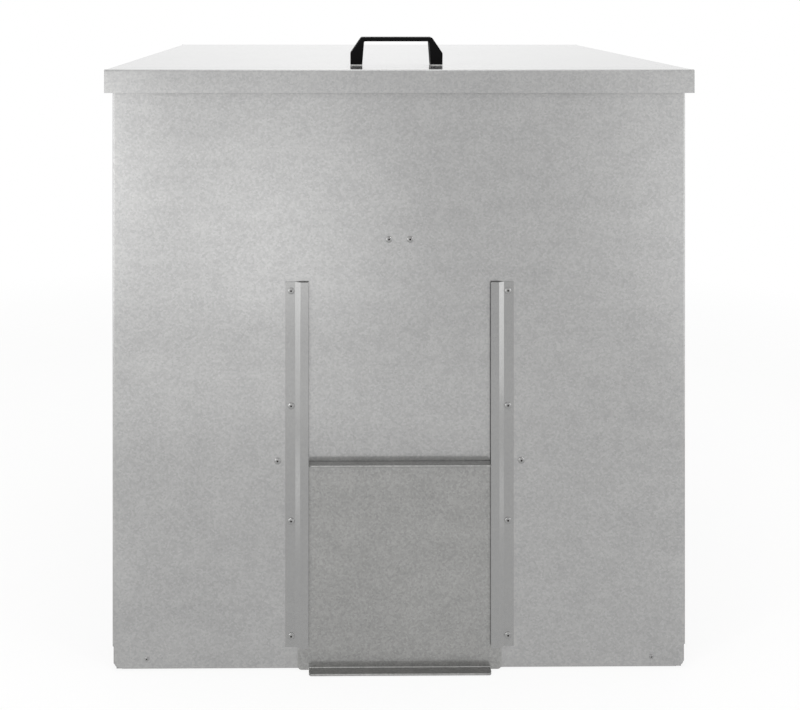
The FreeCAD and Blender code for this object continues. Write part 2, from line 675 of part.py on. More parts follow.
def lid():
    """A pan whose four flanges hang outside the walls. The front and back
    flanges run the full width, and the side flanges end behind them."""
    y, x = LID_HALF_DEPTH, LID_HALF_WIDTH
    bends = [BEND_INSIDE] * 2
    section = sheet_face([
        (-y, LID_EDGE_FRONT_Z), (-y, lid_top_z(-y)), (y, lid_top_z(y)), (y, LID_EDGE_BACK_Z),
    ], SHEET, bends)
    flat_x = x - BEND_OUTSIDE
    pan = across_width(section, -flat_x, flat_x)
    end_y = y - 2 * BEND_OUTSIDE
    full = across_width(section, -x, x)
    ends = full.cut(box(-x, x, -end_y, end_y, 0, 2 * FRONT_HEIGHT))
    side_y = end_y - FOLD_GAP
    sides = sheet_face([(-x, -LID_FLANGE), (-x, 0), (x, 0), (x, -LID_FLANGE)], SHEET, bends)
    sides = along_roof(sides, lid_top_z, -side_y, side_y)
    screw_holes = [
        on_lid(Part.makeCylinder(SCREW_HOLE_RADIUS, 4 * SHEET, place, UP))
        for place in screw_places(-2 * SHEET)
    ]
    return drilled(joined([pan, ends, sides]).cut(screw_holes), hinge_lid_rivets())


def screw_places(height):
    """The two handle screws' places at a height over the lid, seen square to it."""
    return [FreeCAD.Vector(side * HANDLE_HOLE_PITCH / 2, 0, height) for side in (-1, 1)]


def on_lid(shape, rise=0):
    """Sets something drawn at the handle's middle on the lid, or above it."""
    raised = shape.translated(UP * rise)
    raised.Placement = on_roof(lid_top_z, HANDLE_Y).multiply(raised.Placement)
    return raised


def handle_pads():
    """Flat rubber pads between the lid and the handle's feet."""
    end, inner, depth = HANDLE_LENGTH / 2, HANDLE_LENGTH / 2 - HANDLE_FOOT, HANDLE_DEPTH / 2
    pads = []
    for side, place in zip((-1, 1), screw_places(0)):
        left, right = sorted((side * inner, side * end))
        outline = closed_face([
            vector(left, -depth), vector(right, -depth), vector(right, depth), vector(left, depth),
        ], [HANDLE_ROUNDING] * 4)
        bore = Part.makeCylinder(SCREW_HOLE_RADIUS, HANDLE_PAD, place, UP)
        pads.append(on_lid(up_height(outline, 0, HANDLE_PAD).cut(bore)))
    return Part.makeCompound(pads)


def lid_handle():
    """A moulded bridge handle with a blind hole for an insert in each foot."""
    end, inner = HANDLE_LENGTH / 2, HANDLE_LENGTH / 2 - HANDLE_FOOT
    top = end - HANDLE_SHOULDER_RUN
    inner_top, under = inner - HANDLE_FLARE, HANDLE_HEIGHT - HANDLE_GRIP
    outline = [
        (-end, 0), (-inner, 0), (-inner_top, under), (inner_top, under), (inner, 0), (end, 0),
        (end, HANDLE_SHOULDER), (top, HANDLE_HEIGHT), (-top, HANDLE_HEIGHT), (-end, HANDLE_SHOULDER),
    ]
    corner = HANDLE_CORNER
    radii = [0, 0, corner / 2, corner / 2, 0, 0, corner, corner, corner, corner]
    face = closed_face([vector(*point) for point in outline], radii)
    handle = along_depth(face, -HANDLE_DEPTH / 2, HANDLE_DEPTH / 2)
    long_edges = [
        edge for edge in handle.Edges
        if all(abs(abs(v.Y) - HANDLE_DEPTH / 2) < SAME_POINT for v in edge.Vertexes)
        and max(v.Z for v in edge.Vertexes) > SAME_POINT
        and abs(edge.tangentAt(edge.FirstParameter).y) < SAME_POINT
    ]
    handle = handle.makeFillet(HANDLE_ROUNDING, long_edges)
    sockets = [
        Part.makeCylinder(INSERT_RADIUS + INSERT_GAP, INSERT_LENGTH + INSERT_GAP, place, UP)
        for place in screw_places(0)
    ]
    return on_lid(handle.cut(sockets), HANDLE_PAD)


def handle_inserts():
    """Threaded inserts moulded into the handle's feet."""
    inserts = []
    for place in screw_places(0):
        insert = Part.makeCylinder(INSERT_RADIUS, INSERT_LENGTH, place, UP)
        bore = Part.makeCylinder(SCREW_RADIUS + SCREW_GAP, INSERT_LENGTH, place, UP)
        inserts.append(on_lid(insert.cut(bore), HANDLE_PAD))
    return Part.makeCompound(inserts)


def handle_washers():
    """Washers under the lid."""
    washers = []
    for place in screw_places(-SHEET - WASHER_THICKNESS):
        washer = Part.makeCylinder(SCREW_HOLE_RADIUS + WASHER_RIM, WASHER_THICKNESS, place, UP)
        bore = Part.makeCylinder(SCREW_HOLE_RADIUS, WASHER_THICKNESS, place, UP)
        washers.append(on_lid(washer.cut(bore)))
    return Part.makeCompound(washers)


def handle_screws():
    """Socket screws from below, through the washers, the lid and the pads."""
    screws = []
    for place in screw_places(-SHEET - WASHER_THICKNESS):
        shank = Part.makeCylinder(SCREW_RADIUS, SCREW_LENGTH, place, UP)
        head = Part.makeCylinder(SCREW_HEAD_RADIUS, SCREW_HEAD_HEIGHT, place, DOWN)
        corners = [
            place + FreeCAD.Vector(math.cos(turn), math.sin(turn), 0) * SCREW_DRIVE_RADIUS
            for turn in between(SCREW_DRIVE_SIDES + 1, 0, 2 * math.pi)
        ]
        socket = plain_face(corners[:-1]).translated(DOWN * SCREW_HEAD_HEIGHT)
        socket = socket.extrude(UP * SCREW_DRIVE_DEPTH)
        screws.append(on_lid(joined([shank, head]).cut(socket)))
    return Part.makeCompound(screws)


# ---- Hinges ----

def knuckle_spans(side, first):
    """Ends in x of every second knuckle of one hinge, from the first one given."""
    left = side * HINGE_X - HINGE_WIDTH / 2
    pitch = KNUCKLE_WIDTH + HINGE_KNUCKLE_GAP
    return [
        (left + index * pitch, left + index * pitch + KNUCKLE_WIDTH)
        for index in range(first, HINGE_KNUCKLES, 2)
    ]


def hinge_leaf(side, plate, first, keep_out):
    """A leaf from its plate: its own knuckles on, the other leaf's cleared."""
    axis = FreeCAD.Vector(0, PIN_Y, PIN_Z)
    own, other = knuckle_spans(side, first), knuckle_spans(side, 1 - first)
    knuckles = [
        Part.makeCylinder(KNUCKLE_RADIUS, x1 - x0, axis + RIGHT * x0, RIGHT) for x0, x1 in own
    ]
    y0, y1, z0, z1 = keep_out
    gap = HINGE_KNUCKLE_GAP
    notches = [box(x0 - gap, x1 + gap, y0, y1, z0, z1) for x0, x1 in other]
    left = side * HINGE_X - HINGE_WIDTH / 2
    bore = Part.makeCylinder(KNUCKLE_BORE, HINGE_WIDTH, axis + RIGHT * left, RIGHT)
    return joined([plate.cut(notches), *knuckles]).cut(bore)


def leaf_outline(side, low, high, round_low):
    """A leaf's outline seen from behind, rounded at its free corners."""
    left, right = side * HINGE_X - HINGE_WIDTH / 2, side * HINGE_X + HINGE_WIDTH / 2
    corners = [vector(left, low), vector(right, low), vector(right, high), vector(left, high)]
    radii = [HINGE_CORNER] * 2 + [0] * 2 if round_low else [0] * 2 + [HINGE_CORNER] * 2
    return along_depth(closed_face(corners, radii), HALF_DEPTH, PIN_Y + KNUCKLE_RADIUS)


def hinge_body_leaf(side):
    """Leaf on the back panel, cranked out under the lid's flange to the pin."""
    low, crank = PIN_Z - HINGE_BODY_LEAF, PIN_Z - KNUCKLE_BORE
    section = sheet_face([(HALF_DEPTH, low), (HALF_DEPTH, crank), (PIN_Y, crank)],
                         HINGE_LEAF, [HINGE_BEND])
    plate = across_width(section, side * HINGE_X - HINGE_WIDTH / 2,
                         side * HINGE_X + HINGE_WIDTH / 2)
    plate = plate.common(leaf_outline(side, low, PIN_Z + KNUCKLE_RADIUS, True))
    near = PIN_Y - KNUCKLE_RADIUS - HINGE_LEAF_GAP
    leaf = hinge_leaf(side, plate, 0, (near, PIN_Y + KNUCKLE_RADIUS, low, PIN_Z))
    return drilled(leaf, hinge_body_rivets())


def hinge_lid_leaf(side):
    """Leaf on the lid's back flange."""
    high = LID_EDGE_BACK_Z + HINGE_LID_LEAF
    plate = leaf_outline(side, PIN_Z, high, False).common(
        box(-LID_HALF_WIDTH, LID_HALF_WIDTH, LID_HALF_DEPTH, LID_HALF_DEPTH + HINGE_LEAF, 0, high))
    far = PIN_Z + KNUCKLE_RADIUS + HINGE_LEAF_GAP
    leaf = hinge_leaf(side, plate, 1, (LID_HALF_DEPTH, PIN_Y + KNUCKLE_RADIUS, PIN_Z, far))
    return drilled(leaf, hinge_lid_rivets())


def hinge_pin(side):
    """The pin, with a head at each end."""
    length, head = HINGE_WIDTH, PIN_RADIUS + PIN_HEAD_RIM
    section = closed_face([
        vector(0, -PIN_HEAD_HEIGHT), vector(head, -PIN_HEAD_HEIGHT), vector(head, 0),
        vector(PIN_RADIUS, 0), vector(PIN_RADIUS, length), vector(head, length),
        vector(head, length + PIN_HEAD_HEIGHT), vector(0, length + PIN_HEAD_HEIGHT),
    ], [0, PIN_HEAD_HEIGHT / 2, 0, 0, 0, 0, PIN_HEAD_HEIGHT / 2, 0])
    pin = spun(section)
    start = FreeCAD.Vector(side * HINGE_X - HINGE_WIDTH / 2, PIN_Y, PIN_Z)
    pin.Placement = FreeCAD.Placement(start, FreeCAD.Rotation(UP, RIGHT))
    return pin


# ---- The pieces, one node each ----

NODES = {
    "front_panel": front_panel(),
    "back_panel": back_panel(),
    "left_side_panel": side_panel(-1),
    "right_side_panel": side_panel(1),
    "floor_pan": floor_pan(),
    "coal_baffle": coal_baffle(),
    "left_rail": rail(-1),
    "right_rail": rail(1),
    "hatch_plate": hatch_plate(),
    "lid": lid(),
    "lid_handle": lid_handle(),
    "handle_pads": handle_pads(),
    "handle_inserts": handle_inserts(),
    "handle_washers": handle_washers(),
    "handle_screws": handle_screws(),
    "left_hinge_body_leaf": hinge_body_leaf(-1),
    "right_hinge_body_leaf": hinge_body_leaf(1),
    "left_hinge_lid_leaf": hinge_lid_leaf(-1),
    "right_hinge_lid_leaf": hinge_lid_leaf(1),
    "left_hinge_pin": hinge_pin(-1),
    "right_hinge_pin": hinge_pin(1),
    "left_rail_rivets": rivet_group(rail_rivets(-1)),
    "right_rail_rivets": rivet_group(rail_rivets(1)),
    "baffle_rivets": rivet_group(baffle_rivets()),
    "front_corner_rivets": rivet_group(corner_rivets(-1)),
    "back_corner_rivets": rivet_group(corner_rivets(1)),
    "front_foot_rivets": rivet_group(end_foot_rivets(-1)),
    "back_foot_rivets": rivet_group(end_foot_rivets(1)),
    "side_foot_rivets": rivet_group(side_foot_rivets()),
    "hinge_lid_rivets": rivet_group(hinge_lid_rivets()),
    "hinge_body_rivets": rivet_group(hinge_body_rivets()),
}

os.makedirs("parts", exist_ok=True)
for node, shape in NODES.items():
    shape.exportStep(f"parts/{node}.step")
    print(f"{node}: {len(shape.Solids)} solid(s), {shape.Volume:.0f} mm3, valid {shape.isValid()}")
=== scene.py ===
# %% [markdown]
# # A galvanised coal bunker
#
# A coal bunker is a box folded and riveted from galvanised sheet steel. Its lid slopes to
# the front and swings up on two hinges, and a small hatch plate slides up in two rails, so
# that coal can be drawn out at the foot.
#
# The CAD model already holds every sheet, fold, rail, hinge and rivet at its true size.
# This lesson keeps those sheets and gives them what makes sheet steel look real: the zinc
# crystals, the thin clear film over them, sharp little rivet heads and quiet studio light.

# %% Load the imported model
import math

import bmesh
import bpy
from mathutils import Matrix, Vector


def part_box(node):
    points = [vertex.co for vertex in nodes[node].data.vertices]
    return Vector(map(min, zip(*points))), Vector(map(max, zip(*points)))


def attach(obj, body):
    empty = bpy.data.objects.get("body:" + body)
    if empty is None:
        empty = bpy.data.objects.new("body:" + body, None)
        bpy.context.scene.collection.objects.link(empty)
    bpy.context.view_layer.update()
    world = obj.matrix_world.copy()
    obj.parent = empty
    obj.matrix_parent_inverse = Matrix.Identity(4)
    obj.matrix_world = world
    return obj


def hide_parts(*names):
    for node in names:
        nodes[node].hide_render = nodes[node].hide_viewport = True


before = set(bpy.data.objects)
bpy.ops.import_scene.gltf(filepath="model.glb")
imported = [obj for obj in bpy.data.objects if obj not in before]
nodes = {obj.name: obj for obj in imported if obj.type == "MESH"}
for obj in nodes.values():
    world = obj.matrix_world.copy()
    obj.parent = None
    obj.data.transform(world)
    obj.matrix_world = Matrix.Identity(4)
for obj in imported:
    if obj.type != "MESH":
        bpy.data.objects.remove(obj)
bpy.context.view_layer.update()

# %% [markdown]
# ## Three small helpers
#
# Small lengths are written in millimetres, as on a drawing, and turned to metres once. The
# studio's are in metres. Colours are written as the sRGB hex values that a paint chart
# gives, and shaders want them linear. A material is a tree of nodes, so one function adds
# a node with its settings, plain values and links: a key names a socket, and its value is
# a number, a colour or another node's output.

# %% Helpers
MM = 0.001
COLOUR_A, COLOUR_B, COLOUR_OUT = 6, 7, 2     # a Mix node's sockets for colours
NOISE_LOW, NOISE_HIGH = 0.3, 0.7             # most of a noise lies between these


def linear(hex_colour):
    """An sRGB hex colour as the linear colour that a shader takes."""
    shares = [int(hex_colour[start:start + 2], 16) / 255 for start in (1, 3, 5)]
    return [
        share / 12.92 if share <= 0.04045 else ((share + 0.055) / 1.055) ** 2.4
        for share in shares
    ] + [1.0]


def add_node(tree, kind, inputs=None, **settings):
    """Adds a node to a tree, sets its options and fills or links its sockets."""
    node = tree.nodes.new(kind)
    for name, value in settings.items():
        setattr(node, name, value)
    for socket, value in (inputs or {}).items():
        if isinstance(value, bpy.types.NodeSocket):
            tree.links.new(value, node.inputs[socket])
        else:
            node.inputs[socket].default_value = value
    return node


def new_material(name):
    """An empty material and its tree."""
    material = bpy.data.materials.new(name)
    material.use_nodes = True
    material.node_tree.nodes.clear()
    return material, material.node_tree


def blend(tree, share, first, second):
    """A colour between two hex colours, by a share from 0 to 1."""
    mix = add_node(tree, "ShaderNodeMix", {
        "Factor": share, COLOUR_A: linear(first), COLOUR_B: linear(second),
    }, data_type="RGBA")
    return mix.outputs[COLOUR_OUT]


def finish_material(material, surface):
    """Links a surface to the material's output."""
    add_node(material.node_tree, "ShaderNodeOutputMaterial", {"Surface": surface})
    print("material:", material.name, "nodes:", len(material.node_tree.nodes))
    return material


print("mid grey, linear:", round(linear("#808080")[0], 3))

# %% [markdown]
# ## The sheet: hot-dip galvanised steel
#
# The steel strip is pulled through molten zinc, which freezes into flat crystals called
# spangle. Here they are minimised, 2 to 3 mm across, so the sheet reads as fine mottled
# grey and not as big frosted flowers. Each crystal lies at its own angle, and that gives
# the eye small steps in brightness and in gloss. Then the strip is skin-passed between
# rollers, which leaves faint bands, and never comes out quite flat.
#
# A Voronoi texture is made for this, because its cells look just like frozen crystals. A
# little noise moves its coordinates first, so that the cells' edges aren't straight.
# Rolled zinc is two surfaces at once: the flattened tops of the crystals mirror nearby
# edges quite sharply, and the valleys between them stay matt. One shader has only one
# roughness, so two are mixed. Last comes the passivation, a clear film that the eye meets
# as a sharp reflection at a glancing angle. That is the shader's coat.

# %% Galvanised steel
SPANGLE = 2.6 * MM           # width of one zinc crystal
SPANGLE_WANDER = 1.1 * MM    # how far a crystal's edge strays
SPANGLE_WANDER_WIDTH = 4.0 * MM
SPECKLE = 1.1 * MM           # the finest visible grain within and between crystals
CLOUD = 34.0 * MM            # patches where the zinc is thicker or thinner
BAND = 26.0 * MM             # spacing of the rollers' faint bands
BAND_STRETCH = 0.12          # the bands are about eight times as long as they are wide
WAVE = 120.0 * MM            # distance between gentle buckles
WAVE_HEIGHT = 0.5 * MM
GRAIN_HEIGHT = 0.008 * MM
GLOSSY_ROUGHNESS = 0.17      # of the tops of the crystals, flattened by the rollers
MATT_ROUGHNESS = 0.46        # of the valleys between them
GLOSS_STEP = 0.04            # between one crystal and the next
FILM_SHARE = 0.75            # of the zinc that the clear film covers
FILM_ROUGHNESS = 0.06
FILM_INDEX = 1.5
# How much of the way from the dark to the light tone each pattern carries: together, all.
CRYSTAL_SHARE, SPECKLE_SHARE, CLOUD_SHARE, BAND_SHARE = 0.46, 0.28, 0.16, 0.10


def texture_at(tree, place, kind, width, socket, inputs=None, **settings):
    """A noise or Voronoi texture with features of a real width."""
    values = {"Vector": place, "Scale": 1 / width, **(inputs or {})}
    return add_node(tree, kind, values, **settings).outputs[socket]


def spread(tree, value, low, high, to_low, to_high):
    """Carries a value's usual range to another range, and holds it there."""
    return add_node(tree, "ShaderNodeMapRange", {
        "Value": value, "From Min": low, "From Max": high, "To Min": to_low, "To Max": to_high,
    }).outputs["Result"]


def added(tree, first, second):
    """The sum of two values."""
    return add_node(tree, "ShaderNodeMath", {0: first, 1: second}, operation="ADD").outputs[0]


def galvanised(name, dark, light, grain=1.0, matt_share=0.45, rolled_along=(1, 0, 0)):
    """Zinc-coated sheet. Grain is how strongly its crystals show, matt_share how much of
    the zinc the rollers left matt, and rolled_along the direction they ran in."""
    material, tree = new_material(name)
    place = add_node(tree, "ShaderNodeTexCoord").outputs["Object"]

    wander = texture_at(tree, place, "ShaderNodeTexNoise", SPANGLE_WANDER_WIDTH, "Color")
    moved = add_node(tree, "ShaderNodeVectorMath", {
        0: wander, 1: (SPANGLE_WANDER,) * 3, 2: place,
    }, operation="MULTIPLY_ADD").outputs["Vector"]
    crystal = texture_at(tree, moved, "ShaderNodeTexVoronoi", SPANGLE, "Color")
    crystal = add_node(tree, "ShaderNodeSeparateColor", {"Color": crystal})

    speckle = texture_at(tree, place, "ShaderNodeTexNoise", SPECKLE, "Fac", {"Detail": 1.0})
    cloud = texture_at(tree, place, "ShaderNodeTexNoise", CLOUD, "Fac", {"Detail": 3.0})
    stretch = [BAND_STRETCH if along else 1.0 for along in rolled_along]
    along_rollers = add_node(tree, "ShaderNodeMapping", {"Vector": place, "Scale": stretch})
    band = texture_at(tree, along_rollers.outputs["Vector"], "ShaderNodeTexNoise", BAND, "Fac")

    tone = spread(tree, crystal.outputs["Red"], 0, 1, 0, CRYSTAL_SHARE)
    tone = added(tree, tone, spread(tree, speckle, 0.25, 0.75, 0, SPECKLE_SHARE))
    tone = added(tree, tone, spread(tree, cloud, NOISE_LOW, NOISE_HIGH, 0, CLOUD_SHARE))
    tone = added(tree, tone, spread(tree, band, NOISE_LOW, NOISE_HIGH, 0, BAND_SHARE))
    tone = spread(tree, tone, 0, 1, 0.5 - grain / 2, 0.5 + grain / 2)
    colour = blend(tree, tone, dark, light)

    wave = texture_at(tree, place, "ShaderNodeTexNoise", WAVE, "Fac", {"Detail": 0.0})
    buckled = add_node(tree, "ShaderNodeBump", {"Height": wave, "Distance": WAVE_HEIGHT})
    grained = add_node(tree, "ShaderNodeBump", {
        "Height": speckle, "Distance": GRAIN_HEIGHT, "Normal": buckled.outputs["Normal"],
    })

    lobes = []
    for roughness in (GLOSSY_ROUGHNESS, MATT_ROUGHNESS):
        gloss = spread(tree, crystal.outputs["Green"], 0, 1,
                       roughness - GLOSS_STEP, roughness + GLOSS_STEP)
        lobe = add_node(tree, "ShaderNodeBsdfPrincipled", {
            "Base Color": colour, "Metallic": 1.0, "Roughness": gloss,
            "Normal": grained.outputs["Normal"], "Coat Normal": buckled.outputs["Normal"],
            "Coat Weight": FILM_SHARE, "Coat Roughness": FILM_ROUGHNESS, "Coat IOR": FILM_INDEX,
        })
        lobes.append(lobe.outputs["BSDF"])
    shader = add_node(tree, "ShaderNodeMixShader", {
        "Fac": matt_share, 1: lobes[0], 2: lobes[1],
    })
    return finish_material(material, shader.outputs["Shader"])


wall_sheet = galvanised("galvanised_wall_sheet", "#919191", "#ADADAC")
lid_sheet = galvanised("galvanised_lid_sheet", "#929292", "#ADADAC")
hatch_sheet = galvanised("galvanised_hatch_sheet", "#7D7D7C", "#A1A19F", matt_share=0.75)
rail_sheet = galvanised("galvanised_rail_sheet", "#898989", "#999998", grain=0.5,
                        matt_share=0.25, rolled_along=(0, 0, 1))

# %% [markdown]
# ## Small parts: plated steel, aluminium, nylon, rubber and brass
#
# Hinges, screws and washers are electroplated, which gives a smoother and slightly bluer
# zinc than the hot bath does. Blind rivets are aluminium, tumbled to a soft sheen. The
# handle is nylon filled with glass fibre: matt black, with the fine even grain of its
# spark-eroded mould. It stands on two pads of grey rubber that keep the rain out of its
# screw holes, and its threaded inserts are turned brass.
#
# All of them are one idea with other numbers: a colour that two sizes of noise make uneven,
# a gloss that wanders, and a shallow relief. So one function makes them.

# %% Finishes of the small parts
MOTTLE = 6                   # width of the uneven patches, in widths of a mark
GLOSS_WANDER = 0.06


def fine_finish(name, dark, light, metallic, roughness, mark, relief, specular=0.5):
    """A finish whose marks have a real width and height."""
    material, tree = new_material(name)
    place = add_node(tree, "ShaderNodeTexCoord").outputs["Object"]
    mottle = texture_at(tree, place, "ShaderNodeTexNoise", MOTTLE * mark, "Fac",
                        {"Detail": 4.0})
    marks = texture_at(tree, place, "ShaderNodeTexNoise", mark, "Fac", {"Detail": 2.0})
    tone = added(tree, spread(tree, mottle, NOISE_LOW, NOISE_HIGH, 0, 0.5),
                 spread(tree, marks, NOISE_LOW, NOISE_HIGH, 0, 0.5))
    relief_node = add_node(tree, "ShaderNodeBump", {"Height": marks, "Distance": relief})
    shader = add_node(tree, "ShaderNodeBsdfPrincipled", {
        "Base Color": blend(tree, tone, dark, light), "Metallic": metallic,
        "Specular IOR Level": specular,
        "Roughness": spread(tree, mottle, NOISE_LOW, NOISE_HIGH,
                            roughness - GLOSS_WANDER, roughness + GLOSS_WANDER),
        "Normal": relief_node.outputs["Normal"],
    })
    return finish_material(material, shader.outputs["BSDF"])


plated_steel = fine_finish("zinc_plated_steel", "#A9ADB1", "#C2C6C9", 1.0, 0.30,
                           0.9 * MM, 0.004 * MM)
rivet_aluminium = fine_finish("tumbled_rivet_aluminium", "#868686", "#9C9C9B", 1.0, 0.22,
                              0.5 * MM, 0.003 * MM)
# The broken mandrel's near-black colour is painted shade: it darkens the bottom of each rivet's
# hole beyond what bare steel would show.
mandrel_painted_shade = fine_finish("broken_mandrel_painted_shade", "#1E1D1C", "#33312F", 1.0, 0.5,
                            0.3 * MM, 0.02 * MM)
# The mould's real grain is about 0.1 mm: it is drawn at 0.6 mm, so that it shows.
handle_nylon = fine_finish("glass_filled_nylon", "#040404", "#080809", 0.0, 0.6,
                           0.6 * MM, 0.02 * MM, specular=0.08)
pad_rubber = fine_finish("grey_sealing_rubber", "#BABAB8", "#CCCCCA", 0.0, 0.7,
                         0.5 * MM, 0.02 * MM, specular=0.3)
insert_brass = fine_finish("turned_brass", "#B08D45", "#C9A65C", 1.0, 0.3,
                           0.4 * MM, 0.004 * MM)

# %% [markdown]
# ## Dress the pieces that CAD made
#
# A folded sheet in CAD is already the right shape, bend radii and rivet holes included, so
# nothing is gained by modelling it twice. Each node keeps its mesh and gets a finish.

# %% Finishes for the CAD nodes
FINISHES = {
    "front_panel": wall_sheet, "back_panel": wall_sheet, "left_side_panel": wall_sheet,
    "right_side_panel": wall_sheet, "floor_pan": wall_sheet, "coal_baffle": wall_sheet,
    "lid": lid_sheet, "hatch_plate": hatch_sheet,
    "left_rail": rail_sheet, "right_rail": rail_sheet,
    "left_hinge_body_leaf": plated_steel, "right_hinge_body_leaf": plated_steel,
    "left_hinge_lid_leaf": plated_steel, "right_hinge_lid_leaf": plated_steel,
    "left_hinge_pin": plated_steel, "right_hinge_pin": plated_steel,
    "handle_screws": plated_steel, "handle_washers": plated_steel,
    "handle_inserts": insert_brass, "lid_handle": handle_nylon, "handle_pads": pad_rubber,
}
for node_name, finish in FINISHES.items():
    for material_slot in nodes[node_name].material_slots:
        material_slot.material = finish
print("dressed:", len(FINISHES), "nodes")

# %% [markdown]
# ## One blind rivet
#
# A blind rivet is set from one side. Its head is a low dome with a hole in the middle,
# where the steel mandrel broke off, and its far end is squashed to a bulb. On so plain a
# box the rivets are the jewellery: each dome catches a highlight and each hole is dark,
# partly from its real depth and partly from painted shade in the mandrel's near-black colour.
#
# Both ends are turned shapes, so a profile is spun about an axis. They are drawn for a
# shank of radius 1 and scaled to each rivet later. The spin leaves doubled points on the
# axis and at the seam, which are merged before the normals are turned outwards.

# %% Spin the head, the mandrel and the tail
HEAD_RADIUS = 1.95           # the sizes of a rivet, in shank radii
HEAD_RIM = 0.17
HEAD_CROWN = 0.62
HEAD_EDGE = 0.05             # rounding of the head's lower edge
HOLE_RADIUS = 0.54
HOLE_DEPTH = 0.30
HOLE_LIP = 0.07              # rounding of the hole's mouth
LIP_STEP = 0.3               # where that rounding's middle point lies, as a share of it
DOME_STEPS = 7
MANDREL_SHOULDER = 0.94      # radius of the broken end, as a share of the hole's
MANDREL_PEAK = 0.05          # the break is uneven: half way out it stands this proud
MANDREL_MIDDLE = 0.02
TAIL_RADIUS = 1.4
TAIL_NECK = 0.93             # radius under the sheet, as a share of the tail's
TAIL_SWELL = 0.12            # below the sheet, where the tail reaches its full radius
TAIL_LENGTH = 1.65
TAIL_TAPER = 0.35            # how far the tail's end is rounded, inwards and along
TAIL_STEP = 0.3, 0.4         # where that rounding's middle point lies, as shares of it
SPIN_STEPS = 28
SHARP_ANGLE = math.radians(38)


def spun_piece(name, profile, material):
    """A closed turned shape from (radius, height) points that start and end on the axis."""
    mesh = bpy.data.meshes.new(name)
    shape = bmesh.new()
    points = [shape.verts.new((radius, 0, height)) for radius, height in profile]
    line = [shape.edges.new(pair) for pair in zip(points, points[1:])]
    bmesh.ops.spin(shape, geom=points + line, cent=(0, 0, 0), axis=(0, 0, 1), dvec=(0, 0, 0),
                   angle=2 * math.pi, steps=SPIN_STEPS, use_duplicate=False)
    bmesh.ops.remove_doubles(shape, verts=shape.verts, dist=1e-4)
    bmesh.ops.recalc_face_normals(shape, faces=shape.faces)
    for face in shape.faces:
        face.smooth = True
    shape.to_mesh(mesh)
    shape.free()
    mesh.set_sharp_from_angle(angle=SHARP_ANGLE)
    mesh.materials.append(material)
    return bpy.data.objects.new(name, mesh)


dome = []
for step in range(DOME_STEPS + 1):
    turn = math.pi / 2 * step / DOME_STEPS
    dome.append((
        HOLE_RADIUS + HOLE_LIP + (HEAD_RADIUS - HOLE_RADIUS - HOLE_LIP) * math.cos(turn),
        HEAD_RIM + (HEAD_CROWN - HEAD_RIM) * math.sin(turn),
    ))
lip_fall = [(HOLE_RADIUS + HOLE_LIP * LIP_STEP, HEAD_CROWN - HOLE_LIP * LIP_STEP),
            (HOLE_RADIUS, HEAD_CROWN - HOLE_LIP)]
hole_floor = HEAD_CROWN - HOLE_DEPTH
hole_end = hole_floor - HOLE_LIP
rivet_head = spun_piece("rivet_head", [
    (0, 0), (HEAD_RADIUS - HEAD_EDGE, 0), (HEAD_RADIUS, HEAD_EDGE), *dome, *lip_fall,
    (HOLE_RADIUS, hole_end), (0, hole_end),
], rivet_aluminium)
rivet_mandrel = spun_piece("rivet_mandrel", [
    (0, hole_end), (HOLE_RADIUS, hole_end), (HOLE_RADIUS * MANDREL_SHOULDER, hole_floor),
    (HOLE_RADIUS / 2, hole_floor + MANDREL_PEAK), (0, hole_floor + MANDREL_MIDDLE),
], mandrel_painted_shade)
rivet_tail = spun_piece("rivet_tail", [
    (0, 0), (TAIL_RADIUS * TAIL_NECK, 0), (TAIL_RADIUS, -TAIL_SWELL),
    (TAIL_RADIUS, TAIL_TAPER - TAIL_LENGTH),
    (TAIL_RADIUS - TAIL_TAPER * TAIL_STEP[0], TAIL_TAPER * TAIL_STEP[1] - TAIL_LENGTH),
    (TAIL_RADIUS - TAIL_TAPER, -TAIL_LENGTH), (0, -TAIL_LENGTH),
], rivet_aluminium)
for turned in (rivet_head, rivet_mandrel, rivet_tail):
    print(turned.name, "faces:", len(turned.data.polygons))

# %% [markdown]
# ## Fifty-four rivets from one tree
#
# Setting each rivet by hand would be slow and would invite slips. Instead a cloud of
# points says where each head sits and which way it faces, and Geometry Nodes puts the
# turned shapes there. The tree has named inputs for the shank's radius and for the
# thickness that the rivet grips. No two rivets are turned alike, so a random turn about
# each axis comes from a fixed seed. It ends in Realize Instances, because a finished
# piece is a plain mesh.

# %% The rivet tree
RIVET_SEED = 7
RANDOM_MAX = 3               # the socket for the highest plain number of a Random Value node


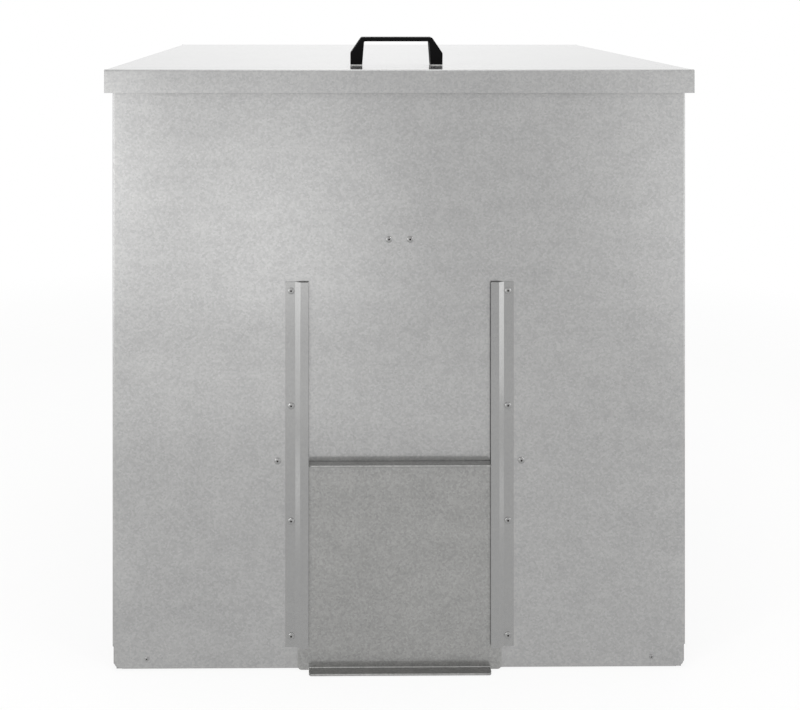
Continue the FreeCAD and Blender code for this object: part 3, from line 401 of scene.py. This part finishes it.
def rivet_setter():
    """The node group that sets heads, mandrels and tails on a cloud of points."""
    tree = bpy.data.node_groups.new("set_rivets", "GeometryNodeTree")
    sockets = tree.interface
    sockets.new_socket("Seats", in_out="INPUT", socket_type="NodeSocketGeometry")
    for name in ("Head", "Mandrel", "Tail"):
        sockets.new_socket(name, in_out="INPUT", socket_type="NodeSocketObject")
    sockets.new_socket("Shank radius", in_out="INPUT", socket_type="NodeSocketFloat")
    sockets.new_socket("Grip", in_out="INPUT", socket_type="NodeSocketFloat")
    sockets.new_socket("Rivets", in_out="OUTPUT", socket_type="NodeSocketGeometry")
    given = add_node(tree, "NodeGroupInput").outputs
    outward = add_node(tree, "GeometryNodeInputNamedAttribute", {"Name": "outward"},
                       data_type="FLOAT_VECTOR").outputs["Attribute"]
    turn = add_node(tree, "FunctionNodeRandomValue",
                    {RANDOM_MAX: 2 * math.pi, "Seed": RIVET_SEED}, data_type="FLOAT")
    spin = add_node(tree, "FunctionNodeAxisAngleToRotation", {
        "Axis": (0, 0, 1), "Angle": turn.outputs[1],
    })
    facing = add_node(tree, "FunctionNodeAlignRotationToVector", {
        "Rotation": spin.outputs["Rotation"], "Vector": outward,
    }, axis="Z")
    sunk = add_node(tree, "ShaderNodeVectorMath", {0: outward, "Scale": given["Grip"]},
                    operation="SCALE")
    behind = add_node(tree, "ShaderNodeVectorMath", {0: sunk.outputs["Vector"], "Scale": -1.0},
                      operation="SCALE")
    far_seats = add_node(tree, "GeometryNodeSetPosition", {
        "Geometry": given["Seats"], "Offset": behind.outputs["Vector"],
    })
    placed = []
    for name, seats in (("Head", given["Seats"]), ("Mandrel", given["Seats"]),
                        ("Tail", far_seats.outputs["Geometry"])):
        shape = add_node(tree, "GeometryNodeObjectInfo", {"Object": given[name]})
        copies = add_node(tree, "GeometryNodeInstanceOnPoints", {
            "Points": seats, "Instance": shape.outputs["Geometry"],
            "Rotation": facing.outputs["Rotation"], "Scale": given["Shank radius"],
        })
        realized = add_node(tree, "GeometryNodeRealizeInstances",
                            {"Geometry": copies.outputs["Instances"]})
        # The mandrels take the near-black finish that paints the shade in the rivets' holes.
        metal = mandrel_painted_shade if name == "Mandrel" else rivet_aluminium
        dressed = add_node(tree, "GeometryNodeSetMaterial", {
            "Geometry": realized.outputs["Geometry"], "Material": metal,
        })
        placed.append(dressed.outputs["Geometry"])
    everything = add_node(tree, "GeometryNodeJoinGeometry")
    for part in placed:
        tree.links.new(part, everything.inputs["Geometry"])
    add_node(tree, "NodeGroupOutput", {"Rivets": everything.outputs["Geometry"]})
    return tree


rivet_tree = rivet_setter()
print("rivet tree nodes:", len(rivet_tree.nodes))

# %% [markdown]
# ## Where the rivets sit
#
# Every rivet must land in its drilled hole. The CAD rivets' own boxes give the ends of
# each row, and the head's radius and crown say how far the outermost seats lie inside
# that box, so the seats follow the CAD model if it changes.

# %% Rows of seats
LARGE_SHANK = 2.4 * MM       # rails and baffle
SMALL_SHANK = 1.6 * MM       # corners, floor pan and hinges
SHEETS_GRIP = 2.4 * MM       # two sheets
HINGE_GRIP = 3.2 * MM        # a hinge leaf and a sheet
TOP_PAIR_PITCH = 30.0 * MM   # between the two rivets above the hatch
HINGE_ROW_PITCH = 24.0 * MM
FRONTWARD, BACKWARD = Vector((0, -1, 0)), Vector((0, 1, 0))
LEFTWARD, RIGHTWARD = Vector((-1, 0, 0)), Vector((1, 0, 0))


def between(count, low, high):
    """Equally spaced places from low to high."""
    return [low + (high - low) * index / (count - 1) for index in range(count)]


def seat_limits(node, shank, outward):
    """The box of the seats of a node's rivets: the rivets' own box, less their heads."""
    low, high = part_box(node)
    head, crown = shank * HEAD_RADIUS, shank * HEAD_CROWN
    for axis in range(3):
        if outward[axis]:
            seat = high[axis] - crown if outward[axis] > 0 else low[axis] + crown
            low[axis] = high[axis] = seat
        else:
            low[axis] += head
            high[axis] -= head
    return low, high


def upright_row(node, shank, outward, count):
    """Seats spaced up one row."""
    low, high = seat_limits(node, shank, outward)
    middle = (low + high) / 2
    return [(Vector((middle.x, middle.y, z)), outward) for z in between(count, low.z, high.z)]


def two_sides(node, shank, count, axis):
    """Rows on both side walls, spaced along an axis: 1 is depth and 2 is height."""
    seats = []
    for outward in (LEFTWARD, RIGHTWARD):
        low, high = seat_limits(node, shank, outward)
        for place in between(count, low[axis], high[axis]):
            point = (low + high) / 2
            point[axis] = place
            seats.append((point, outward))
    return seats


def hinge_rows(node):
    """Three seats in each of the two hinges."""
    low, high = seat_limits(node, SMALL_SHANK, BACKWARD)
    middles = (low.x + HINGE_ROW_PITCH, high.x - HINGE_ROW_PITCH)
    return [
        (Vector((middle + step * HINGE_ROW_PITCH, low.y, (low.z + high.z) / 2)), BACKWARD)
        for middle in middles for step in (-1, 0, 1)
    ]


def pair(node, shank, outward):
    """Two seats at the left and right ends of a node's box."""
    low, high = seat_limits(node, shank, outward)
    z = (low.z + high.z) / 2
    return [(Vector((x, low.y, z)), outward) for x in (low.x, high.x)]


def baffle_seats():
    """A pair close together at the top, and one on each side lower down."""
    low, high = seat_limits("baffle_rivets", LARGE_SHANK, FRONTWARD)
    top = [(Vector((side * TOP_PAIR_PITCH / 2, low.y, high.z)), FRONTWARD) for side in (-1, 1)]
    return top + [(Vector((x, low.y, low.z)), FRONTWARD) for x in (low.x, high.x)]


RAIL_RIVETS, CORNER_RIVETS, SIDE_RIVETS = 4, 5, 3
large_seats = baffle_seats()
for rail_rivets in ("left_rail_rivets", "right_rail_rivets"):
    large_seats += upright_row(rail_rivets, LARGE_SHANK, FRONTWARD, RAIL_RIVETS)
small_seats = two_sides("front_corner_rivets", SMALL_SHANK, CORNER_RIVETS, 2)
small_seats += two_sides("back_corner_rivets", SMALL_SHANK, CORNER_RIVETS, 2)
small_seats += two_sides("side_foot_rivets", SMALL_SHANK, SIDE_RIVETS, 1)
small_seats += pair("front_foot_rivets", SMALL_SHANK, FRONTWARD)
small_seats += pair("back_foot_rivets", SMALL_SHANK, BACKWARD)
print("large:", len(large_seats), "small:", len(small_seats))

# %% [markdown]
# ## Set them, and keep plain meshes
#
# Each group of rivets that shares a body and a shank is one cloud. The tree runs on it
# once, its result is kept as a mesh, and that mesh takes the place of the CAD rivets.

# %% Set the rivets and make them plain meshes


def set_rivets(name, seats, shank, grip, body, *replaced):
    """Runs the tree on a cloud of seats and keeps the result as one plain mesh."""
    cloud = bpy.data.meshes.new(name)
    cloud.from_pydata([point for point, outward in seats], [], [])
    facing = cloud.attributes.new("outward", "FLOAT_VECTOR", "POINT")
    for entry, (point, outward) in zip(facing.data, seats):
        entry.vector = outward
    piece = bpy.data.objects.new(name, cloud)
    bpy.context.scene.collection.objects.link(piece)
    setter = piece.modifiers.new("set_rivets", "NODES")
    setter.node_group = rivet_tree
    given = {"Head": rivet_head, "Mandrel": rivet_mandrel, "Tail": rivet_tail,
             "Shank radius": shank, "Grip": grip}
    for item in rivet_tree.interface.items_tree:
        if item.in_out == "INPUT" and item.name in given:
            setter[item.identifier] = given[item.name]
    evaluated = piece.evaluated_get(bpy.context.evaluated_depsgraph_get())
    mesh = bpy.data.meshes.new_from_object(evaluated)
    piece.modifiers.remove(setter)
    piece.data = mesh
    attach(piece, body)
    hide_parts(*replaced)
    print(name, "rivets:", len(seats), "faces:", len(mesh.polygons))


set_rivets("rail_and_baffle_rivets", large_seats, LARGE_SHANK, SHEETS_GRIP, "bunker",
           "left_rail_rivets", "right_rail_rivets", "baffle_rivets")
set_rivets("corner_and_foot_rivets", small_seats, SMALL_SHANK, SHEETS_GRIP, "bunker",
           "front_corner_rivets", "back_corner_rivets", "front_foot_rivets",
           "back_foot_rivets", "side_foot_rivets")
set_rivets("hinge_rivets_on_body", hinge_rows("hinge_body_rivets"), SMALL_SHANK, HINGE_GRIP,
           "bunker", "hinge_body_rivets")
set_rivets("hinge_rivets_on_lid", hinge_rows("hinge_lid_rivets"), SMALL_SHANK, HINGE_GRIP,
           "lid", "hinge_lid_rivets")

# %% [markdown]
# ## The studio
#
# Bare metal shows its surroundings more than itself, so the studio is half of the finish.
# The bunker stands on a pale floor in a white room. For the eye and for reflections the
# room is plain white, and for soft light it is a little dimmer, so that the floor keeps a
# shadow.
#
# The rest is a set of softboxes, each one there for a surface that mirrors it. The tall
# left one draws the slow gradient over the front, from light on the left to a middle grey
# on the right. Low, near ones fill the slanting webs of the rails, which face sideways.
# Weak cards on the floor carry that light down to the foot. Two small high lamps put a
# spark on each rivet. A softbox fades to its rim, so that no hard edge shows in the zinc.

# %% The white room
ROOM_SOFT_LIGHT = 0.7
scene = bpy.context.scene
scene.view_settings.view_transform = "Standard"


def seen_directly(tree):
    """1 for rays of the camera, of reflections and through glass, 0 for soft light."""
    ray = add_node(tree, "ShaderNodeLightPath").outputs
    seen = added(tree, ray["Is Camera Ray"], ray["Is Glossy Ray"])
    return added(tree, seen, ray["Is Transmission Ray"])


world = bpy.data.worlds.new("white_room")
world.use_nodes = True
world.node_tree.nodes.clear()
room_light = spread(world.node_tree, seen_directly(world.node_tree), 0, 1, ROOM_SOFT_LIGHT, 1.0)
room = add_node(world.node_tree, "ShaderNodeBackground", {"Strength": room_light})
room.inputs["Color"].default_value = (1, 1, 1, 1)
add_node(world.node_tree, "ShaderNodeOutputWorld", {"Surface": room.outputs["Background"]})
scene.world = world
print("world:", world.name)

# %% The pale floor
FLOOR_RADIUS = 2.6
FLOOR_FADE_START = 1.5
FLOOR_STEPS = 96
FLOOR_GLOW = 0.85            # share of plain white that the eye sees in the floor
FLOOR_MOTTLE = 60 * MM


def studio_floor():
    """A disc that fades into the white room, with the object's shadow on it."""
    mesh = bpy.data.meshes.new("floor")
    shape = bmesh.new()
    bmesh.ops.create_circle(shape, cap_ends=True, segments=FLOOR_STEPS, radius=FLOOR_RADIUS)
    shape.to_mesh(mesh)
    shape.free()
    floor = bpy.data.objects.new("floor", mesh)
    scene.collection.objects.link(floor)
    material, tree = new_material("pale_studio_floor")
    place = add_node(tree, "ShaderNodeTexCoord").outputs["Object"]
    far = add_node(tree, "ShaderNodeVectorMath", {0: place}, operation="LENGTH").outputs["Value"]
    board = texture_at(tree, place, "ShaderNodeTexNoise", FLOOR_MOTTLE, "Fac", {"Detail": 3.0})
    matt = add_node(tree, "ShaderNodeBsdfDiffuse", {
        "Color": blend(tree, board, "#F2F2F1", "#F6F6F5"),
    })
    glow = add_node(tree, "ShaderNodeEmission", {"Strength": 1.0})
    share = spread(tree, seen_directly(tree), 0, 1, 0, FLOOR_GLOW)
    near = add_node(tree, "ShaderNodeMixShader", {
        "Fac": share, 1: matt.outputs["BSDF"], 2: glow.outputs["Emission"],
    })
    open_room = add_node(tree, "ShaderNodeBsdfTransparent")
    fade = spread(tree, far, FLOOR_FADE_START, FLOOR_RADIUS, 0, 1)
    surface = add_node(tree, "ShaderNodeMixShader", {
        "Fac": fade, 1: near.outputs["Shader"], 2: open_room.outputs["BSDF"],
    })
    floor.data.materials.append(finish_material(material, surface.outputs["Shader"]))


studio_floor()

# %% [markdown]
# ## The softboxes
#
# Each lamp is placed by its direction from the bunker, as one would walk round it with a
# lamp stand. Its brightness is that of its middle, and a brightness of 1 is a white wall.

# %% Softboxes
AREA_POWER = 4.0             # watts that give a square metre of softbox a brightness of 1
LAMP_DISTANCE = 2.1          # from the middle of the bunker's front
NEAR_LEFT, NEAR_RIGHT = 1.15, 1.3            # distances of the two low ones
MIDDLE = Vector((0.0, -0.3, 0.5))
TOP_PLACE = Vector((0.0, -0.2, 2.9))
CARD_RISE = 0.01             # of a card above the floor


def softbox(name, turn, height, width, tall, brightness, distance=LAMP_DISTANCE):
    """A soft lamp that the camera can't see, brightest in its middle. Turn is its
    direction from the middle of the bunker, in degrees to the right of the front."""
    lamp = bpy.data.lights.new(name, "AREA")
    lamp.shape = "RECTANGLE"
    lamp.size = width
    lamp.size_y = tall
    lamp.energy = brightness * width * tall * AREA_POWER
    lamp.use_nodes = True
    tree = lamp.node_tree
    tree.nodes.clear()
    across = add_node(tree, "ShaderNodeNewGeometry").outputs["Parametric"]
    offset = add_node(tree, "ShaderNodeVectorMath", {
        0: across, 1: (2.0, 2.0, 0.0), 2: (-1.0, -1.0, 0.0),
    }, operation="MULTIPLY_ADD").outputs["Vector"]
    from_middle = add_node(tree, "ShaderNodeVectorMath", {0: offset}, operation="LENGTH")
    glow = add_node(tree, "ShaderNodeMapRange", {
        "Value": from_middle.outputs["Value"], "From Min": 0.0, "From Max": 1.0,
        "To Min": 1.0, "To Max": 0.0,
    }, interpolation_type="SMOOTHSTEP").outputs["Result"]
    light = add_node(tree, "ShaderNodeEmission", {"Strength": glow})
    add_node(tree, "ShaderNodeOutputLight", {"Surface": light.outputs["Emission"]})
    holder = bpy.data.objects.new(name, lamp)
    turned = math.radians(turn)
    ahead = Vector((math.sin(turned), -math.cos(turned), 0.0))
    holder.location = MIDDLE + ahead * distance
    holder.location.z = height
    aim = MIDDLE - Vector(holder.location)
    holder.rotation_euler = aim.to_track_quat("-Z", "Y").to_euler()
    holder.visible_camera = False
    scene.collection.objects.link(holder)
    print(name, "watts:", round(lamp.energy))
    return holder


def floor_card(name, place, turn, width, long, brightness):
    """A glowing card that lies on the floor. Turn is where its long side points to."""
    card = softbox(name, 0, CARD_RISE, width, long, brightness)
    card.location = (*place, CARD_RISE)
    card.rotation_euler = (math.pi, 0.0, math.radians(turn))


# For each: turn in degrees, height of its middle, width, tall, brightness.
# The front panel's gradient.
softbox("left_softbox", -43, 0.55, 2.2, 2.4, 2.15)
softbox("low_front_softbox", -10, 0.25, 1.5, 1.8, 0.60)
softbox("front_right_softbox", 38, 0.45, 1.5, 1.9, 0.45)
softbox("right_softbox", 58, 0.75, 1.5, 1.8, 1.55)
# The slanting webs of the rails.
softbox("low_left_softbox", -64, 0.30, 0.9, 1.3, 0.50, distance=NEAR_LEFT)
softbox("low_right_softbox", 62, 0.30, 1.0, 1.4, 1.00, distance=NEAR_RIGHT)
# The sides and the back.
softbox("left_side_softbox", -95, 1.20, 1.8, 1.8, 1.3)
softbox("right_side_softbox", 95, 1.20, 1.8, 1.8, 1.3)
softbox("back_softbox", 180, 1.70, 3.0, 1.8, 0.15)
# The sparks on the rivets.
softbox("high_left_lamp", -50, 1.9, 0.35, 0.35, 70.0)
softbox("high_right_lamp", 50, 1.9, 0.35, 0.35, 50.0)
# The lid and every upward edge.
top = softbox("top_softbox", 0, TOP_PLACE.z, 3.0, 2.4, 2.4)
top.location = TOP_PLACE
top.rotation_euler = (0.0, 0.0, 0.0)
# The light that the webs and the front panel's lower half mirror from the floor.
floor_card("left_floor_card", (-0.66, -0.64), -59, 0.22, 0.70, 0.45)
floor_card("right_floor_card", (0.66, -0.56), 67, 0.22, 0.60, 0.30)
floor_card("front_floor_card", (-0.40, -1.45), 0, 2.2, 1.0, 0.23)

# %% [markdown]
# ## The camera
#
# The view is square on to the front panel, so that upright edges stay upright, and nearly
# level with the lid's front edge, so that the lid's slope shows as a narrow band. A level
# camera that high would lose the bunker's foot, so the lens is shifted down, as on an
# architect's camera.

# %% A level camera with a shifted lens
CAMERA_PLACE = Vector((-0.0861, -1.6109, 0.8410))
FOCAL_LENGTH = 41.158
SENSOR_WIDTH = 36.0
SHIFT_RIGHT, SHIFT_UP = 0.0676, -0.3486      # in widths of the picture
CAMERA_TURN = math.radians(-0.439)
LEVEL = math.radians(90)

camera = bpy.data.cameras.new("square_on_view")
camera.lens = FOCAL_LENGTH
camera.sensor_width = SENSOR_WIDTH
camera.shift_x = SHIFT_RIGHT
camera.shift_y = SHIFT_UP
viewer = bpy.data.objects.new("square_on_view", camera)
viewer.location = CAMERA_PLACE
viewer.rotation_euler = (LEVEL, 0, CAMERA_TURN)
scene.collection.objects.link(viewer)
scene.camera = viewer
print("camera at:", [round(value, 3) for value in viewer.location])
